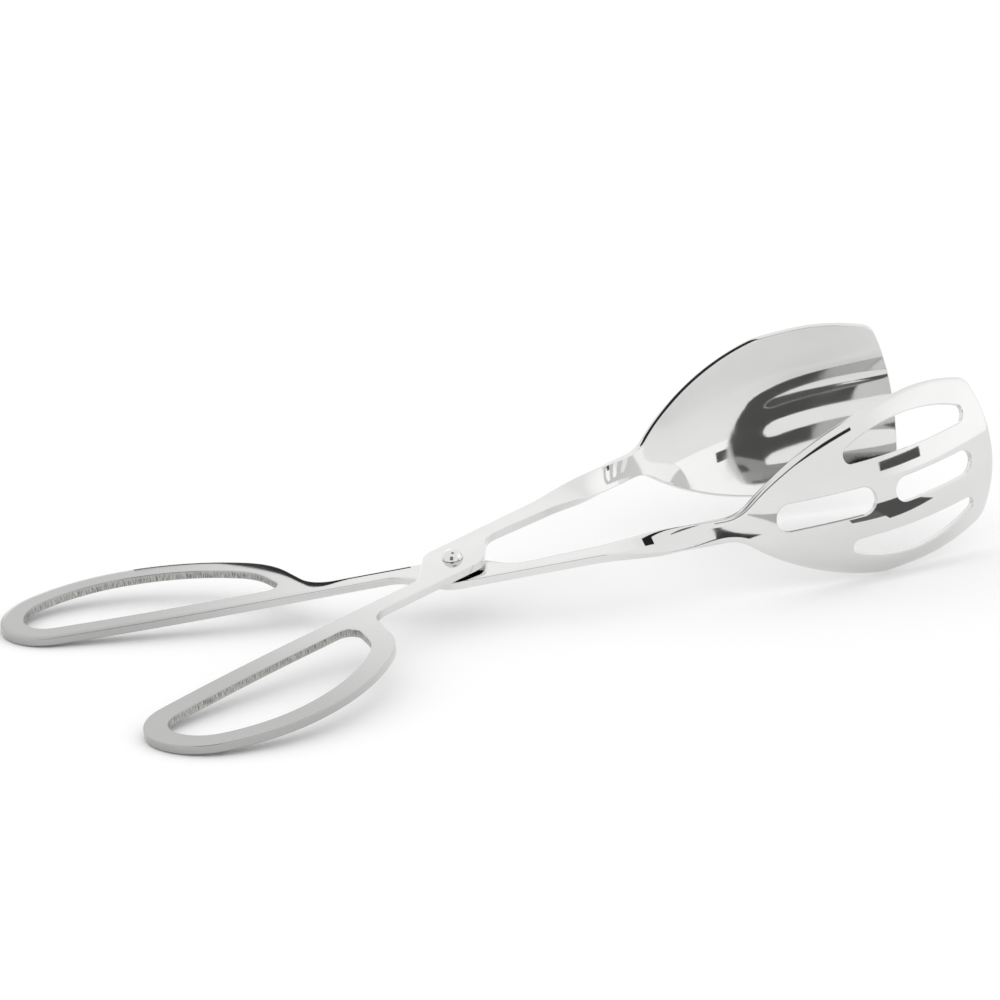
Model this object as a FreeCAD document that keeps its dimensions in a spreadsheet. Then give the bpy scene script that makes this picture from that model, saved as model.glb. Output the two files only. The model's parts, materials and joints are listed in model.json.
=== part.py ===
import FreeCAD, Part
import math
import os
import Sketcher
from FreeCAD import Placement, Rotation, Vector

# Scissor serving tongs: two stamped levers crossed on one rivet, with a thin washer between them.
# Each lever is a flat finger loop and arm, then a neck twisted on edge that carries a cupped blade.
# Both levers are the same stamping, one turned over; the lower one has four drain slots in its blade.
#
# A lever is modelled lying flat with the pivot at the origin, its blade towards +X and its finger
# loop towards -X and -Y. The parts are then opened to the resting angle and set down as they lie on
# a table: on the tips of both finger loops and the lower rim of the slotted blade.

DIMENSIONS = {
    # sheet and pivot
    "stock_thickness": 2.4,      # flat handle and arm
    "blade_thickness": 1.5,      # sheet after the blade is rolled thinner
    "edge_rounding": 0.4,        # polished edges of the sheet
    "lever_gap": 0.7,            # space between the two levers
    "washer_play": 0.05,         # axial play at the washer and under the rivet heads
    "washer_radius": 4.0,
    "shank_radius": 1.8,
    "bore_play": 0.05,           # radial clearance of the turning lever and the washer
    "head_radius": 2.8,
    "head_height": 2.5,
    # flat outline: arms and boss
    "handle_arm_inner": 2.3,     # edge that faces the other handle
    "handle_arm_outer": 7.9,
    "blade_arm_far": 8.7,
    "blade_arm_near": 3.1,       # near edge where the arm leaves the boss
    "blade_arm_near_end": 1.8,   # near edge where the twist starts
    "plate_end": 36.0,           # where the flat stops and the twist starts
    "boss_side": 9.3,            # the boss's slanted sides pass this far along X from the pivot ...
    "boss_side_offset": 2.7,     # ... and this far across it
    "boss_slant": 43.0,          # slant of those sides in degrees
    "boss_fillet": 8.0,
    # finger loop, as radii and turns of its outer edge in order from the arm to the inner side
    "loop_start": 31.5,
    "notch_radius": 8.0,
    "shoulder_radius": 22.0,
    "back_radius": 64.0,
    "belly_radius": 50.0,
    "corner_radius": 18.5,
    "tip_radius": 14.0,
    "inner_side_radius": 650.0,
    "notch_turn": 68.0,
    "shoulder_turn": 35.0,
    "belly_turn": 30.0,
    "tip_turn": 86.0,
    "loop_rim": 6.3,             # width of the metal round the finger hole
    "hole_corner_radius": 3.6,
    # neck and blade; stations along the middle line are measured from the neck
    "neck_position": 38.4,       # from the start of the twist to the neck
    "neck_half_width": 3.3,
    "spread_start": -2.0,        # station where the neck starts to widen
    "spread_radius": 10.6,       # hollow curve of the widening edge ...
    "spread_angle": 39.4,        # ... until it slants by this many degrees
    "side_radius": 88.0,         # long bulged side of the blade
    "side_slope": 2.0,           # slant that is left where the bulge runs out
    "twist_angle": 84.0,
    "twist_end": 36.0,
    "bow_angle": 38.5,           # how far the blade's middle line turns inwards
    "bow_centre": 48.5,          # station where it turns most
    "bow_softness": 12.0,
    "cup_radius": 45.3,
    "tip_reach": 154.1,          # pivot to blade tip along X
    "tip_edge_radius": 41.0,
    "tip_edge_turn": 24.6,
    "tip_corner_radius": 6.0,
    "rim_radius": 60.0,
    "rim_turn": 20.0,
    # drain slots, placed along X from the pivot
    "first_slot_start": 86.9,
    "first_slot_end": 115.1,
    "first_slot_half_width": 3.8,
    "second_slot_start": 121.2,
    "second_slot_end": 145.8,
    "second_slot_half_width": 3.4,
    "side_slot_start": 107.6,
    "side_slot_end": 145.4,
    "side_slot_inner": 10.3,
    "side_slot_outer": 18.4,
    "side_slot_end_radius": 2.2,
    # resting pose
    "half_opening": 16.3,
    "table_tilt": 6.43,
    "table_roll": 1.89,
}

PARTS_FOLDER = "parts"
LINE_STEP = 0.25                 # step of the middle line's integration
STRIP_END = 90.0                 # station where the strip ends, past the trimmed tip
SECTION_COUNT = 30               # sections of the lofted strip
THINNING_START = -6.0            # the sheet thins between these stations
THINNING_END = 22.0
CUP_START = -8.0                 # the cup deepens between these stations
CUP_END = 16.0
CUTTER_REACH = 60.0              # how far trimming prisms run to each side of the blade
TRIM_START = 20.0                # the tip trimming prism starts this far along X


def make_sheet(document):
    """Spreadsheet with one named cell for each driving dimension."""
    sheet = document.addObject("Spreadsheet::Sheet", "dims")
    for row, (alias, value) in enumerate(DIMENSIONS.items(), start=1):
        sheet.set("A%d" % row, alias)
        sheet.set("B%d" % row, str(value))
        sheet.setAlias("B%d" % row, alias)
    document.recompute()
    return sheet


class Sizes:
    """The sheet's values, read back as plain numbers."""

    def __init__(self, sheet):
        for alias in DIMENSIONS:
            setattr(self, alias, float(sheet.get(alias)))


def body_plane(body, role):
    """Origin plane of a body, such as XY_Plane."""
    return [item for item in body.Origin.OriginFeatures if item.Role == role][0]


def new_sketch(body, name, role="XY_Plane"):
    sketch = body.newObject("Sketcher::SketchObject", name)
    sketch.AttachmentSupport = [(body_plane(body, role), "")]
    sketch.MapMode = "FlatFace"
    return sketch


def bind(sketch, constraint, expression):
    """Add a dimension to a sketch and tie its value to cells of the sheet."""
    number = sketch.addConstraint(constraint)
    sketch.setExpression("Constraints[%d]" % number, expression)


def bind_radius(sketch, geometry, expression):
    radius = sketch.Geometry[geometry].Radius
    bind(sketch, Sketcher.Constraint("Radius", geometry, radius), expression)


class Path:
    """Outline drawn by moving forward and turning, so that its lines and arcs meet smoothly."""

    def __init__(self, start, heading):
        self.place = Vector(start[0], start[1], 0)
        self.heading = heading
        self.pieces = []

    def forward(self, length):
        end = self.place + length * direction(self.heading)
        self.pieces.append({"curve": Part.LineSegment(self.place, end), "ends": (1, 2), "alias": None})
        self.place = end

    def turn(self, radius, angle, alias=None):
        """Arc to the left for a positive angle, to the right for a negative one."""
        side = math.copysign(90.0, angle)
        centre = self.place + radius * direction(self.heading + side)
        begin = math.radians(self.heading - side)
        finish = math.radians(self.heading - side + angle)
        circle = Part.Circle(centre, Vector(0, 0, 1), radius)
        arc = Part.ArcOfCircle(circle, min(begin, finish), max(begin, finish))
        ends = (1, 2) if angle > 0 else (2, 1)
        self.pieces.append({"curve": arc, "ends": ends, "alias": alias})
        self.place = centre - radius * direction(self.heading + angle + side)
        self.heading += angle

    def line_to(self, x, y):
        end = Vector(x, y, 0)
        self.pieces.append({"curve": Part.LineSegment(self.place, end), "ends": (1, 2), "alias": None})
        self.place = end

    def draw(self, sketch):
        """Add the closed outline to a sketch, joined end to end, with its named radii tied to the sheet."""
        numbers = [sketch.addGeometry(piece["curve"], False) for piece in self.pieces]
        for index, number in enumerate(numbers):
            following = (index + 1) % len(numbers)
            last_end = self.pieces[index]["ends"][1]
            next_start = self.pieces[following]["ends"][0]
            joint = Sketcher.Constraint("Coincident", number, last_end, numbers[following], next_start)
            sketch.addConstraint(joint)
        for number, piece in zip(numbers, self.pieces):
            if piece["alias"]:
                bind_radius(sketch, number, "dims." + piece["alias"])

    def wire(self):
        return Part.Wire([piece["curve"].toShape() for piece in self.pieces])


def direction(degrees):
    return Vector(math.cos(math.radians(degrees)), math.sin(math.radians(degrees)), 0)


def corner_setback(radius, angle):
    """Distance from a corner to where its rounding starts."""
    return radius * math.tan(math.radians(abs(angle)) / 2)


def smooth_step(value, start, end):
    share = min(max((value - start) / (end - start), 0.0), 1.0)
    return share * share * (3 - 2 * share)


def loop_turns(size, inset):
    """Turns of the finger loop's edge after the notch, each as radius, angle and cell name."""
    back_turn = size.notch_turn - size.shoulder_turn
    corner_turn = 90.0 - size.belly_turn
    named = [
        ("shoulder_radius", size.shoulder_turn), ("back_radius", back_turn),
        ("belly_radius", size.belly_turn), ("corner_radius", corner_turn),
        ("tip_radius", size.tip_turn), ("inner_side_radius", 90.0 - size.tip_turn),
    ]
    return [(getattr(size, alias) - inset, -turn, alias) for alias, turn in named]


def flat_outline(size):
    """Outer edge of the flat handle, boss and arm, clockwise from the near end of the blade arm."""
    slant = math.radians(size.boss_slant)

    def slanted_side(across, sign):
        """X where a slanted side of the boss reaches this Y."""
        return sign * size.boss_side + (across + sign * size.boss_side_offset) / math.tan(slant)

    near_corner = slanted_side(size.blade_arm_near, 1)
    lower_corner = slanted_side(-size.handle_arm_outer, 1)
    inner_corner = slanted_side(-size.handle_arm_inner, -1)
    upper_corner = slanted_side(size.blade_arm_far, -1)
    near_run = size.plate_end - near_corner
    near_slope = math.degrees(math.atan2(size.blade_arm_near - size.blade_arm_near_end, near_run))
    near_turn = size.boss_slant + near_slope
    slant_setback = corner_setback(size.boss_fillet, size.boss_slant)
    near_setback = corner_setback(size.boss_fillet, near_turn)

    path = Path((size.plate_end, size.blade_arm_near_end), 180.0 - near_slope)
    path.forward(near_run / math.cos(math.radians(near_slope)) - near_setback)
    path.turn(size.boss_fillet, near_turn, "boss_fillet")
    near_side = (size.blade_arm_near + size.handle_arm_outer) / math.sin(slant)
    path.forward(near_side - near_setback - slant_setback)
    path.turn(size.boss_fillet, -size.boss_slant, "boss_fillet")
    path.forward(lower_corner - slant_setback + size.loop_start)
    path.turn(size.notch_radius, size.notch_turn, "notch_radius")
    trial = Path((0, 0), path.heading)
    for radius, angle, _ in loop_turns(size, 0.0):
        trial.turn(radius, angle)
    climb = -size.handle_arm_inner - (path.place.y + trial.place.y)
    path.forward(climb / math.sin(math.radians(path.heading)))
    shoulder = (Vector(path.place), path.heading)
    for radius, angle, alias in loop_turns(size, 0.0):
        path.turn(radius, angle, alias)
    path.heading = 0.0
    path.forward(inner_corner - slant_setback - path.place.x)
    path.turn(size.boss_fillet, size.boss_slant, "boss_fillet")
    far_side = (size.handle_arm_inner + size.blade_arm_far) / math.sin(slant)
    path.forward(far_side - 2 * slant_setback)
    path.turn(size.boss_fillet, -size.boss_slant, "boss_fillet")
    path.forward(size.plate_end - upper_corner - slant_setback)
    path.line_to(size.plate_end, size.blade_arm_near_end)
    return path, shoulder


def finger_hole_outline(size, shoulder):
    """Inner edge of the finger loop: the outer edge moved in by the rim, with a tighter arm corner."""
    place, heading = shoulder
    start = place + size.loop_rim * direction(heading - 90.0)
    path = Path((start.x, start.y), heading)
    for radius, angle, _ in loop_turns(size, size.loop_rim):
        path.turn(radius, angle)
    path.heading = 0.0
    corner_turn = heading - 360.0
    corner = Path((0, 0), 0.0)
    corner.turn(size.hole_corner_radius, corner_turn)
    remaining = start - path.place - corner.place
    side_run = remaining.y / math.sin(math.radians(heading))
    path.forward(remaining.x - side_run * math.cos(math.radians(heading)))
    path.turn(size.hole_corner_radius, corner_turn, "hole_corner_radius")
    path.forward(side_run)
    return path


def round_edges(body, feature, size):
    """Round the sheet's edges on both faces, apart from those at the cut end of the arm."""
    half = size.stock_thickness / 2
    names = []
    for number, edge in enumerate(feature.Shape.Edges, start=1):
        box = edge.BoundBox
        flat = box.ZLength < 1e-6 and abs(abs(box.Center.z) - half) < 1e-6
        cut_end = box.XLength < 1e-6 and abs(box.Center.x - size.plate_end) < 1e-6
        if flat and not cut_end:
            names.append("Edge%d" % number)
    fillet = body.newObject("PartDesign::Fillet", body.Name + "_rounding")
    fillet.Base = (feature, names)
    fillet.Radius = size.edge_rounding
    fillet.setExpression("Radius", "dims.edge_rounding")
    return fillet


def make_plate(document, name, size, bore_expression):
    """Flat part of a lever: finger loop, arm, boss and the first stretch of the blade arm."""
    body = document.addObject("PartDesign::Body", name)
    outline, shoulder = flat_outline(size)
    sketch = new_sketch(body, name + "_outline")
    outline.draw(sketch)
    hole = finger_hole_outline(size, shoulder)
    hole.draw(sketch)
    pad = body.newObject("PartDesign::Pad", name + "_sheet")
    pad.Profile = sketch
    pad.Midplane = True
    pad.setExpression("Length", "dims.stock_thickness")
    document.recompute()
    rounding = round_edges(body, pad, size)
    document.recompute()
    bore_sketch = new_sketch(body, name + "_bore_circle")
    bore_sketch.addGeometry(Part.Circle(Vector(0, 0, 0), Vector(0, 0, 1), size.shank_radius), False)
    bore_sketch.addConstraint(Sketcher.Constraint("Coincident", 0, 3, -1, 1))
    bind_radius(bore_sketch, 0, bore_expression)
    bore = body.newObject("PartDesign::Pocket", name + "_bore")
    bore.Profile = bore_sketch
    bore.Midplane = True
    bore.Type = "Length"
    bore.setExpression("Length", "dims.stock_thickness * 2")
    document.recompute()
    if bore.Shape.Volume >= rounding.Shape.Volume:
        raise RuntimeError("the bore of %s cuts nothing" % name)
    return body


class MiddleLine:
    """Middle line of the neck and blade in the lever's plane, bowed smoothly inwards."""

    def __init__(self, size):
        self.size = size
        self.first = -size.neck_position
        centre_y = (size.blade_arm_far + size.blade_arm_near_end) / 2
        self.points = [Vector(size.plate_end, centre_y, 0)]
        station = self.first
        while station < STRIP_END + LINE_STEP:
            heading = self.heading(station + LINE_STEP / 2)
            self.points.append(self.points[-1] + LINE_STEP * direction(heading))
            station += LINE_STEP

    def heading(self, station):
        softness = self.size.bow_softness
        return -self.size.bow_angle / (1 + math.exp((self.size.bow_centre - station) / softness))

    def point(self, station):
        steps = (station - self.first) / LINE_STEP
        index = min(int(steps), len(self.points) - 2)
        share = steps - index
        return self.points[index] * (1 - share) + self.points[index + 1] * share


def half_width(size, station):
    """Half width of the strip: a slim neck, a hollow spread, a long bulge and a nearly straight end."""
    steep = math.radians(size.spread_angle)
    shallow = math.radians(size.side_slope)
    hollow_end = size.spread_start + size.spread_radius * math.sin(steep)
    bulge_station = hollow_end + size.side_radius * math.sin(steep)
    bulge_base = size.neck_half_width + size.spread_radius
    bulge_base -= (size.spread_radius + size.side_radius) * math.cos(steep)
    bulge_end = bulge_station - size.side_radius * math.sin(shallow)
    if station <= size.spread_start:
        arm_half_width = (size.blade_arm_far - size.blade_arm_near_end) / 2
        share = (size.spread_start - station) / (size.spread_start + size.neck_position)
        return size.neck_half_width + share * (arm_half_width - size.neck_half_width)
    if station <= hollow_end:
        run = station - size.spread_start
        return size.neck_half_width + size.spread_radius - math.sqrt(size.spread_radius ** 2 - run ** 2)
    if station <= bulge_end:
        return bulge_base + math.sqrt(size.side_radius ** 2 - (bulge_station - station) ** 2)
    return bulge_base + size.side_radius * math.cos(shallow) + (station - bulge_end) * math.tan(shallow)


def strip_section(size, line, station):
    """Closed cross-section of the strip: two long curves, two short sides and four rounded corners."""
    half = half_width(size, station)
    heading = 0.0 if station == line.first else line.heading(station)
    sideways = direction(heading + 90.0)
    up = Vector(0, 0, 1)
    twist_start = -size.neck_position
    turned = smooth_step(station, twist_start, twist_start + size.twist_end)
    twist = math.radians(size.twist_angle) * turned
    across = math.cos(twist) * sideways + math.sin(twist) * up
    outwards = math.sin(twist) * sideways - math.cos(twist) * up
    curvature = smooth_step(station, CUP_START, CUP_END) / size.cup_radius
    thinning = smooth_step(station, THINNING_START, THINNING_END)
    half_thick = (size.stock_thickness + (size.blade_thickness - size.stock_thickness) * thinning) / 2
    centre = line.point(station)
    rounding = size.edge_rounding
    diagonal = rounding * (1 - math.sqrt(0.5))

    def spot(along, depth):
        """Point at this distance across the strip and this depth through the sheet."""
        if curvature < 1e-6:
            return centre + along * across + depth * outwards
        radius = 1 / curvature
        angle = along * curvature
        arm = (radius + depth) * (math.sin(angle) * across + math.cos(angle) * outwards)
        return centre + arm - radius * outwards

    def face(depth, sign):
        begin = spot(-sign * (half - rounding), depth)
        end = spot(sign * (half - rounding), depth)
        if curvature < 1e-6:
            return Part.LineSegment(begin, end).toShape()
        return Part.Arc(begin, spot(0, depth), end).toShape()

    def corner(sign, level, leaving_face):
        on_face = spot(sign * (half - rounding), level * half_thick)
        middle = spot(sign * (half - diagonal), level * (half_thick - diagonal))
        on_side = spot(sign * half, level * (half_thick - rounding))
        ends = (on_face, on_side) if leaving_face else (on_side, on_face)
        return Part.Arc(ends[0], middle, ends[1]).toShape()

    def side(sign, level):
        begin = spot(sign * half, level * (half_thick - rounding))
        end = spot(sign * half, -level * (half_thick - rounding))
        return Part.LineSegment(begin, end).toShape()

    return Part.Wire([
        face(half_thick, 1), corner(1, 1, True), side(1, 1), corner(1, -1, False),
        face(-half_thick, -1), corner(-1, -1, True), side(-1, -1), corner(-1, 1, False),
    ])


def prism(wire):
    """Solid that runs through the blade along Y from an outline drawn in X and Z."""
    upright = Placement(Vector(0, CUTTER_REACH, 0), Rotation(Vector(1, 0, 0), 90))
    face = Part.Face(wire)
    face.Placement = upright
    return face.extrude(Vector(0, -2 * CUTTER_REACH, 0))


def tip_outline(size):
    """Outline that keeps the blade inside its bulged tip, rounded corners and tapering rims."""
    upper = Path((size.tip_reach, 0), 90.0)
    upper.turn(size.tip_edge_radius, size.tip_edge_turn)
    corner_turn = 90.0 - size.rim_turn - size.tip_edge_turn
    upper.turn(size.tip_corner_radius, corner_turn)
    upper.turn(size.rim_radius, size.rim_turn)
    upper.forward(upper.place.x - TRIM_START)
    top = upper.wire()
    bottom = top.mirror(Vector(0, 0, 0), Vector(0, 1, 0))
    closing = Part.LineSegment(upper.place, Vector(upper.place.x, -upper.place.y, 0)).toShape()
    return Part.Wire(Part.__sortEdges__(top.Edges + bottom.Edges + [closing]))


def slot_outline(start, end, half_width):
    path = Path((start + half_width, -half_width), 0.0)
    path.forward(end - start - 2 * half_width)
    path.turn(half_width, 180.0)
    path.forward(end - start - 2 * half_width)
    path.turn(half_width, 180.0)
    return path.wire()


def side_slot_outline(size):
    """Crescent slot: a straight inner edge, a bulged outer edge and round ends."""
    radius = size.side_slot_end_radius
    half_length = (size.side_slot_end - size.side_slot_start) / 2 - radius
    rise = size.side_slot_outer - size.side_slot_inner - 2 * radius
    bulge = (half_length ** 2 + rise ** 2) / (2 * rise)
    lean = math.degrees(math.asin(half_length / bulge))
    path = Path((size.side_slot_start + radius, size.side_slot_inner), 0.0)
    path.forward(2 * half_length)
    path.turn(radius, 180.0 - lean)
    path.turn(bulge + radius, 2 * lean)
    path.turn(radius, 180.0 - lean)
    return path.wire()


def drain_slots(size):
    """The four slots of the lower blade: two in line along its middle and one along each rim."""
    first = slot_outline(size.first_slot_start, size.first_slot_end, size.first_slot_half_width)
    second = slot_outline(size.second_slot_start, size.second_slot_end, size.second_slot_half_width)
    side = side_slot_outline(size)
    other_side = side.mirror(Vector(0, 0, 0), Vector(0, 1, 0))
    return [prism(wire) for wire in (first, second, side, other_side)]


def make_blade(document, name, size):
    """Twisted neck and cupped blade as one lofted strip, trimmed to the tip outline."""
    line = MiddleLine(size)
    spacing = (STRIP_END - line.first) / (SECTION_COUNT - 1)
    sections = [strip_section(size, line, line.first + index * spacing) for index in range(SECTION_COUNT)]
    strip = Part.makeLoft(sections, True, False)
    blade = document.addObject("Part::Feature", name)
    blade.Shape = strip.common(prism(tip_outline(size)))
    return blade


def make_slotted_blade(document, name, size):
    plain = make_blade(document, name + "_plain", size)
    slots = document.addObject("Part::Feature", name + "_slots")
    slots.Shape = Part.makeCompound(drain_slots(size))
    cut = document.addObject("Part::Cut", name)
    cut.Base = plain
    cut.Tool = slots
    return cut


def make_lever(document, label, plate, blade):
    lever = document.addObject("Part::MultiFuse", label)
    lever.Shapes = [plate, blade]
    lever.Refine = False
    lever.Label = label
    return lever


def make_rivet(document, size):
    """Rivet with a domed head at each end, turned from one half section."""
    body = document.addObject("PartDesign::Body", "pivot_rivet")
    body.Label = "pivot_rivet"
    sketch = new_sketch(body, "rivet_half_section", "XZ_Plane")
    shoulder = size.lever_gap / 2 + size.stock_thickness + size.washer_play
    reach = shoulder + size.head_height
    dome = (size.head_radius ** 2 + size.head_height ** 2) / (2 * size.head_height)
    edge_angle = math.atan2(shoulder - (reach - dome), size.head_radius)
    upper_dome = Part.Circle(Vector(0, reach - dome, 0), Vector(0, 0, 1), dome)
    lower_dome = Part.Circle(Vector(0, dome - reach, 0), Vector(0, 0, 1), dome)
    outline = [
        Part.LineSegment(Vector(size.head_radius, shoulder, 0), Vector(size.shank_radius, shoulder, 0)),
        Part.LineSegment(Vector(size.shank_radius, shoulder, 0), Vector(size.shank_radius, -shoulder, 0)),
        Part.LineSegment(Vector(size.shank_radius, -shoulder, 0), Vector(size.head_radius, -shoulder, 0)),
        Part.ArcOfCircle(lower_dome, -math.pi / 2, -edge_angle),
        Part.LineSegment(Vector(0, -reach, 0), Vector(0, reach, 0)),
        Part.ArcOfCircle(upper_dome, edge_angle, math.pi / 2),
    ]
    head_top, shank, head_bottom, lower_arc, middle, upper_arc = sketch.addGeometry(outline, False)
    joined_ends = [
        (head_top, 2, shank, 1), (shank, 2, head_bottom, 1), (head_bottom, 2, lower_arc, 2),
        (lower_arc, 1, middle, 1), (middle, 2, upper_arc, 2), (upper_arc, 1, head_top, 1),
    ]
    for ends in joined_ends:
        sketch.addConstraint(Sketcher.Constraint("Coincident", *ends))
    sketch.addConstraint(Sketcher.Constraint("Vertical", shank))
    for end in (1, 2):
        sketch.addConstraint(Sketcher.Constraint("PointOnObject", middle, end, -2))
    shoulder_rule = "dims.lever_gap / 2 + dims.stock_thickness + dims.washer_play"
    dome_rule = "(dims.head_radius ^ 2 + dims.head_height ^ 2) / (2 * dims.head_height)"
    distances = [
        ("DistanceX", head_top, 1, size.head_radius, "dims.head_radius"),
        ("DistanceX", head_bottom, 2, size.head_radius, "dims.head_radius"),
        ("DistanceX", shank, 1, size.shank_radius, "dims.shank_radius"),
        ("DistanceY", head_top, 1, shoulder, shoulder_rule),
        ("DistanceY", head_top, 2, shoulder, shoulder_rule),
        ("DistanceY", head_bottom, 1, -shoulder, "-(%s)" % shoulder_rule),
        ("DistanceY", head_bottom, 2, -shoulder, "-(%s)" % shoulder_rule),
        ("DistanceY", middle, 1, -reach, "-(%s + dims.head_height)" % shoulder_rule),
        ("DistanceY", middle, 2, reach, "%s + dims.head_height" % shoulder_rule),
    ]
    for kind, geometry, end, value, rule in distances:
        bind(sketch, Sketcher.Constraint(kind, -1, 1, geometry, end, value), rule)
    for arc in (lower_arc, upper_arc):
        bind_radius(sketch, arc, dome_rule)
    turned = body.newObject("PartDesign::Revolution", "rivet_turned")
    turned.Profile = sketch
    turned.ReferenceAxis = (sketch, ["V_Axis"])
    turned.Angle = 360.0
    return body


def make_washer(document, size):
    """Flat washer that sits on the lower lever and keeps the levers apart."""
    body = document.addObject("PartDesign::Body", "spacer_washer")
    body.Label = "spacer_washer"
    sketch = new_sketch(body, "washer_rings")
    outer = sketch.addGeometry(Part.Circle(Vector(0, 0, 0), Vector(0, 0, 1), size.washer_radius), False)
    inner = sketch.addGeometry(Part.Circle(Vector(0, 0, 0), Vector(0, 0, 1), size.shank_radius), False)
    for ring in (outer, inner):
        sketch.addConstraint(Sketcher.Constraint("Coincident", ring, 3, -1, 1))
    bind_radius(sketch, outer, "dims.washer_radius")
    bind_radius(sketch, inner, "dims.shank_radius + dims.bore_play")
    pad = body.newObject("PartDesign::Pad", "washer_disc")
    pad.Profile = sketch
    pad.setExpression("Length", "dims.lever_gap - dims.washer_play")
    return body


def check_document(document, parts):
    for item in document.Objects:
        if "Invalid" in item.State or "Error" in item.State:
            raise RuntimeError("%s failed: %s" % (item.Name, item.State))
    for part in parts:
        if part.Shape.isNull() or not part.Shape.isValid():
            raise RuntimeError("%s has no valid shape" % part.Label)
        if len(part.Shape.Solids) != 1:
            raise RuntimeError("%s is not one solid" % part.Label)


def set_down(parts, size):
    """Open the levers to the resting angle and lay the tongs on the table, centred on the origin."""
    upper, lower, rivet, washer = parts
    lift = (size.lever_gap + size.stock_thickness) / 2
    open_up = Placement(Vector(0, 0, lift), Rotation(Vector(0, 0, 1), size.half_opening))
    turn_over = Rotation(Vector(0, 0, 1), -size.half_opening) * Rotation(Vector(1, 0, 0), 180)
    open_down = Placement(Vector(0, 0, -lift), turn_over)
    on_lower_lever = Placement(Vector(0, 0, -size.lever_gap / 2), Rotation())
    lean = Rotation(Vector(1, 0, 0), size.table_roll) * Rotation(Vector(0, 1, 0), -size.table_tilt)
    places = [open_up, open_down, Placement(), on_lower_lever]
    for part, place in zip(parts, places):
        part.Placement = Placement(Vector(0, 0, 0), lean) * place
    boxes = [part.Shape.optimalBoundingBox(False) for part in parts]
    whole = FreeCAD.BoundBox()
    for box in boxes:
        whole.add(box)
    to_origin = Placement(Vector(-whole.Center.x, -whole.Center.y, -whole.ZMin), Rotation())
    for part in parts:
        part.Placement = to_origin * part.Placement
    return to_origin.Base, lean


def main():
    document = FreeCAD.newDocument("serving_tongs")
    sheet = make_sheet(document)
    size = Sizes(sheet)
    upper_plate = make_plate(document, "upper_plate", size, "dims.shank_radius + dims.bore_play")
    lower_plate = make_plate(document, "lower_plate", size, "dims.shank_radius")
    upper_blade = make_blade(document, "solid_blade", size)
    lower_blade = make_slotted_blade(document, "slotted_blade", size)
    upper = make_lever(document, "upper_lever_solid_blade", upper_plate, upper_blade)
    lower = make_lever(document, "lower_lever_slotted_blade", lower_plate, lower_blade)
    rivet = make_rivet(document, size)
    washer = make_washer(document, size)
    document.recompute()
    parts = [upper, lower, rivet, washer]
    pivot, lean = set_down(parts, size)
    check_document(document, parts)
    axis = lean.multVec(Vector(0, 0, 1))
    print("pivot %.3f %.3f %.3f axis %.5f %.5f %.5f" % (*pivot, *axis))
    os.makedirs(PARTS_FOLDER, exist_ok=True)
    for part in parts:
        box = part.Shape.optimalBoundingBox(False)
        print("%s volume %.1f box %.2f %.2f %.2f to %.2f %.2f %.2f" % (
            part.Label, part.Shape.Volume, box.XMin, box.YMin, box.ZMin, box.XMax, box.YMax, box.ZMax))
        part.Shape.exportStep(os.path.join(PARTS_FOLDER, part.Label + ".step"))


main()
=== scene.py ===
import json
import math

import bpy
import numpy as np
from mathutils import Matrix, Vector
from mathutils.geometry import delaunay_2d_cdt


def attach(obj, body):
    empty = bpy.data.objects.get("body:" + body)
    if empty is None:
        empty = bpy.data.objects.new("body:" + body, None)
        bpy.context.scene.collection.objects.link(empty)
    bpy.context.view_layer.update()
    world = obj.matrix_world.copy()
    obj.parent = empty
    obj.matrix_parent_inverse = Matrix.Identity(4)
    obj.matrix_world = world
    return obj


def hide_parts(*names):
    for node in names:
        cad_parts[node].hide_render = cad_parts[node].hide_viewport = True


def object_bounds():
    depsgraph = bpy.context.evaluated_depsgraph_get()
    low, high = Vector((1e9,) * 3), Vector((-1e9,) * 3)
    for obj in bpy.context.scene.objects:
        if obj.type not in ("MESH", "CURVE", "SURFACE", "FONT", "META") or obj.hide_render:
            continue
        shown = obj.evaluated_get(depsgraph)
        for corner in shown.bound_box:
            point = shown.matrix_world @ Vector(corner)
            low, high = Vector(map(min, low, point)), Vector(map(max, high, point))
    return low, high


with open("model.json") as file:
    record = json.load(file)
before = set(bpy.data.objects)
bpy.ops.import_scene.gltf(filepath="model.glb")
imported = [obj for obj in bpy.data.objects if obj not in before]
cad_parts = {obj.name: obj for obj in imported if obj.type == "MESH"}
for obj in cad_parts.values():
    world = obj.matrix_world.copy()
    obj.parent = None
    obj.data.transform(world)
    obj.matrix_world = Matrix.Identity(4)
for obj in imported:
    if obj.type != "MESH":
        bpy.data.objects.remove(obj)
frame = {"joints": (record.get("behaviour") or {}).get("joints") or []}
cad_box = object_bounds()

# Scissor serving tongs in polished steel. Both levers are the same stamping, one turned over, so one flat
# blank is drawn, pierced and then twisted, bowed and cupped, as the real sheet is. Sizes are millimetres in
# a lever's own frame: the pivot at the origin, the blade towards +X and the finger loop towards -X and -Y.
# Finished pieces are in metres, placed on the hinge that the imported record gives. The sheet's side +1 is the
# outer, bulged side of both blades, the top of the lower lever's handle and the underside of the upper one's.

MM = 0.001

# sheet, which thins between two stations along the blade's middle line
STOCK = 2.4
BLADE_STOCK = 1.5
THINNING_START = -6.0
THINNING_END = 22.0
ROUNDING = 0.25
# the lower lever's outline rolls over more widely on its side +1: width and height of that roll
ROLL = (1.8, 0.5)
# the meshes are this much smaller than the CAD sheet all round, so that they stay inside its box
TRIM = 0.03
# arms and boss
HANDLE_ARM_INNER = 2.3
HANDLE_ARM_OUTER = 7.9
BLADE_ARM_FAR = 8.7
BLADE_ARM_NEAR = 3.1
BLADE_ARM_NEAR_END = 1.8
PLATE_END = 36.0
BOSS_SIDE = 9.3
BOSS_SIDE_OFFSET = 2.7
BOSS_SLANT = 43.0
BOSS_FILLET = 8.0
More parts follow.
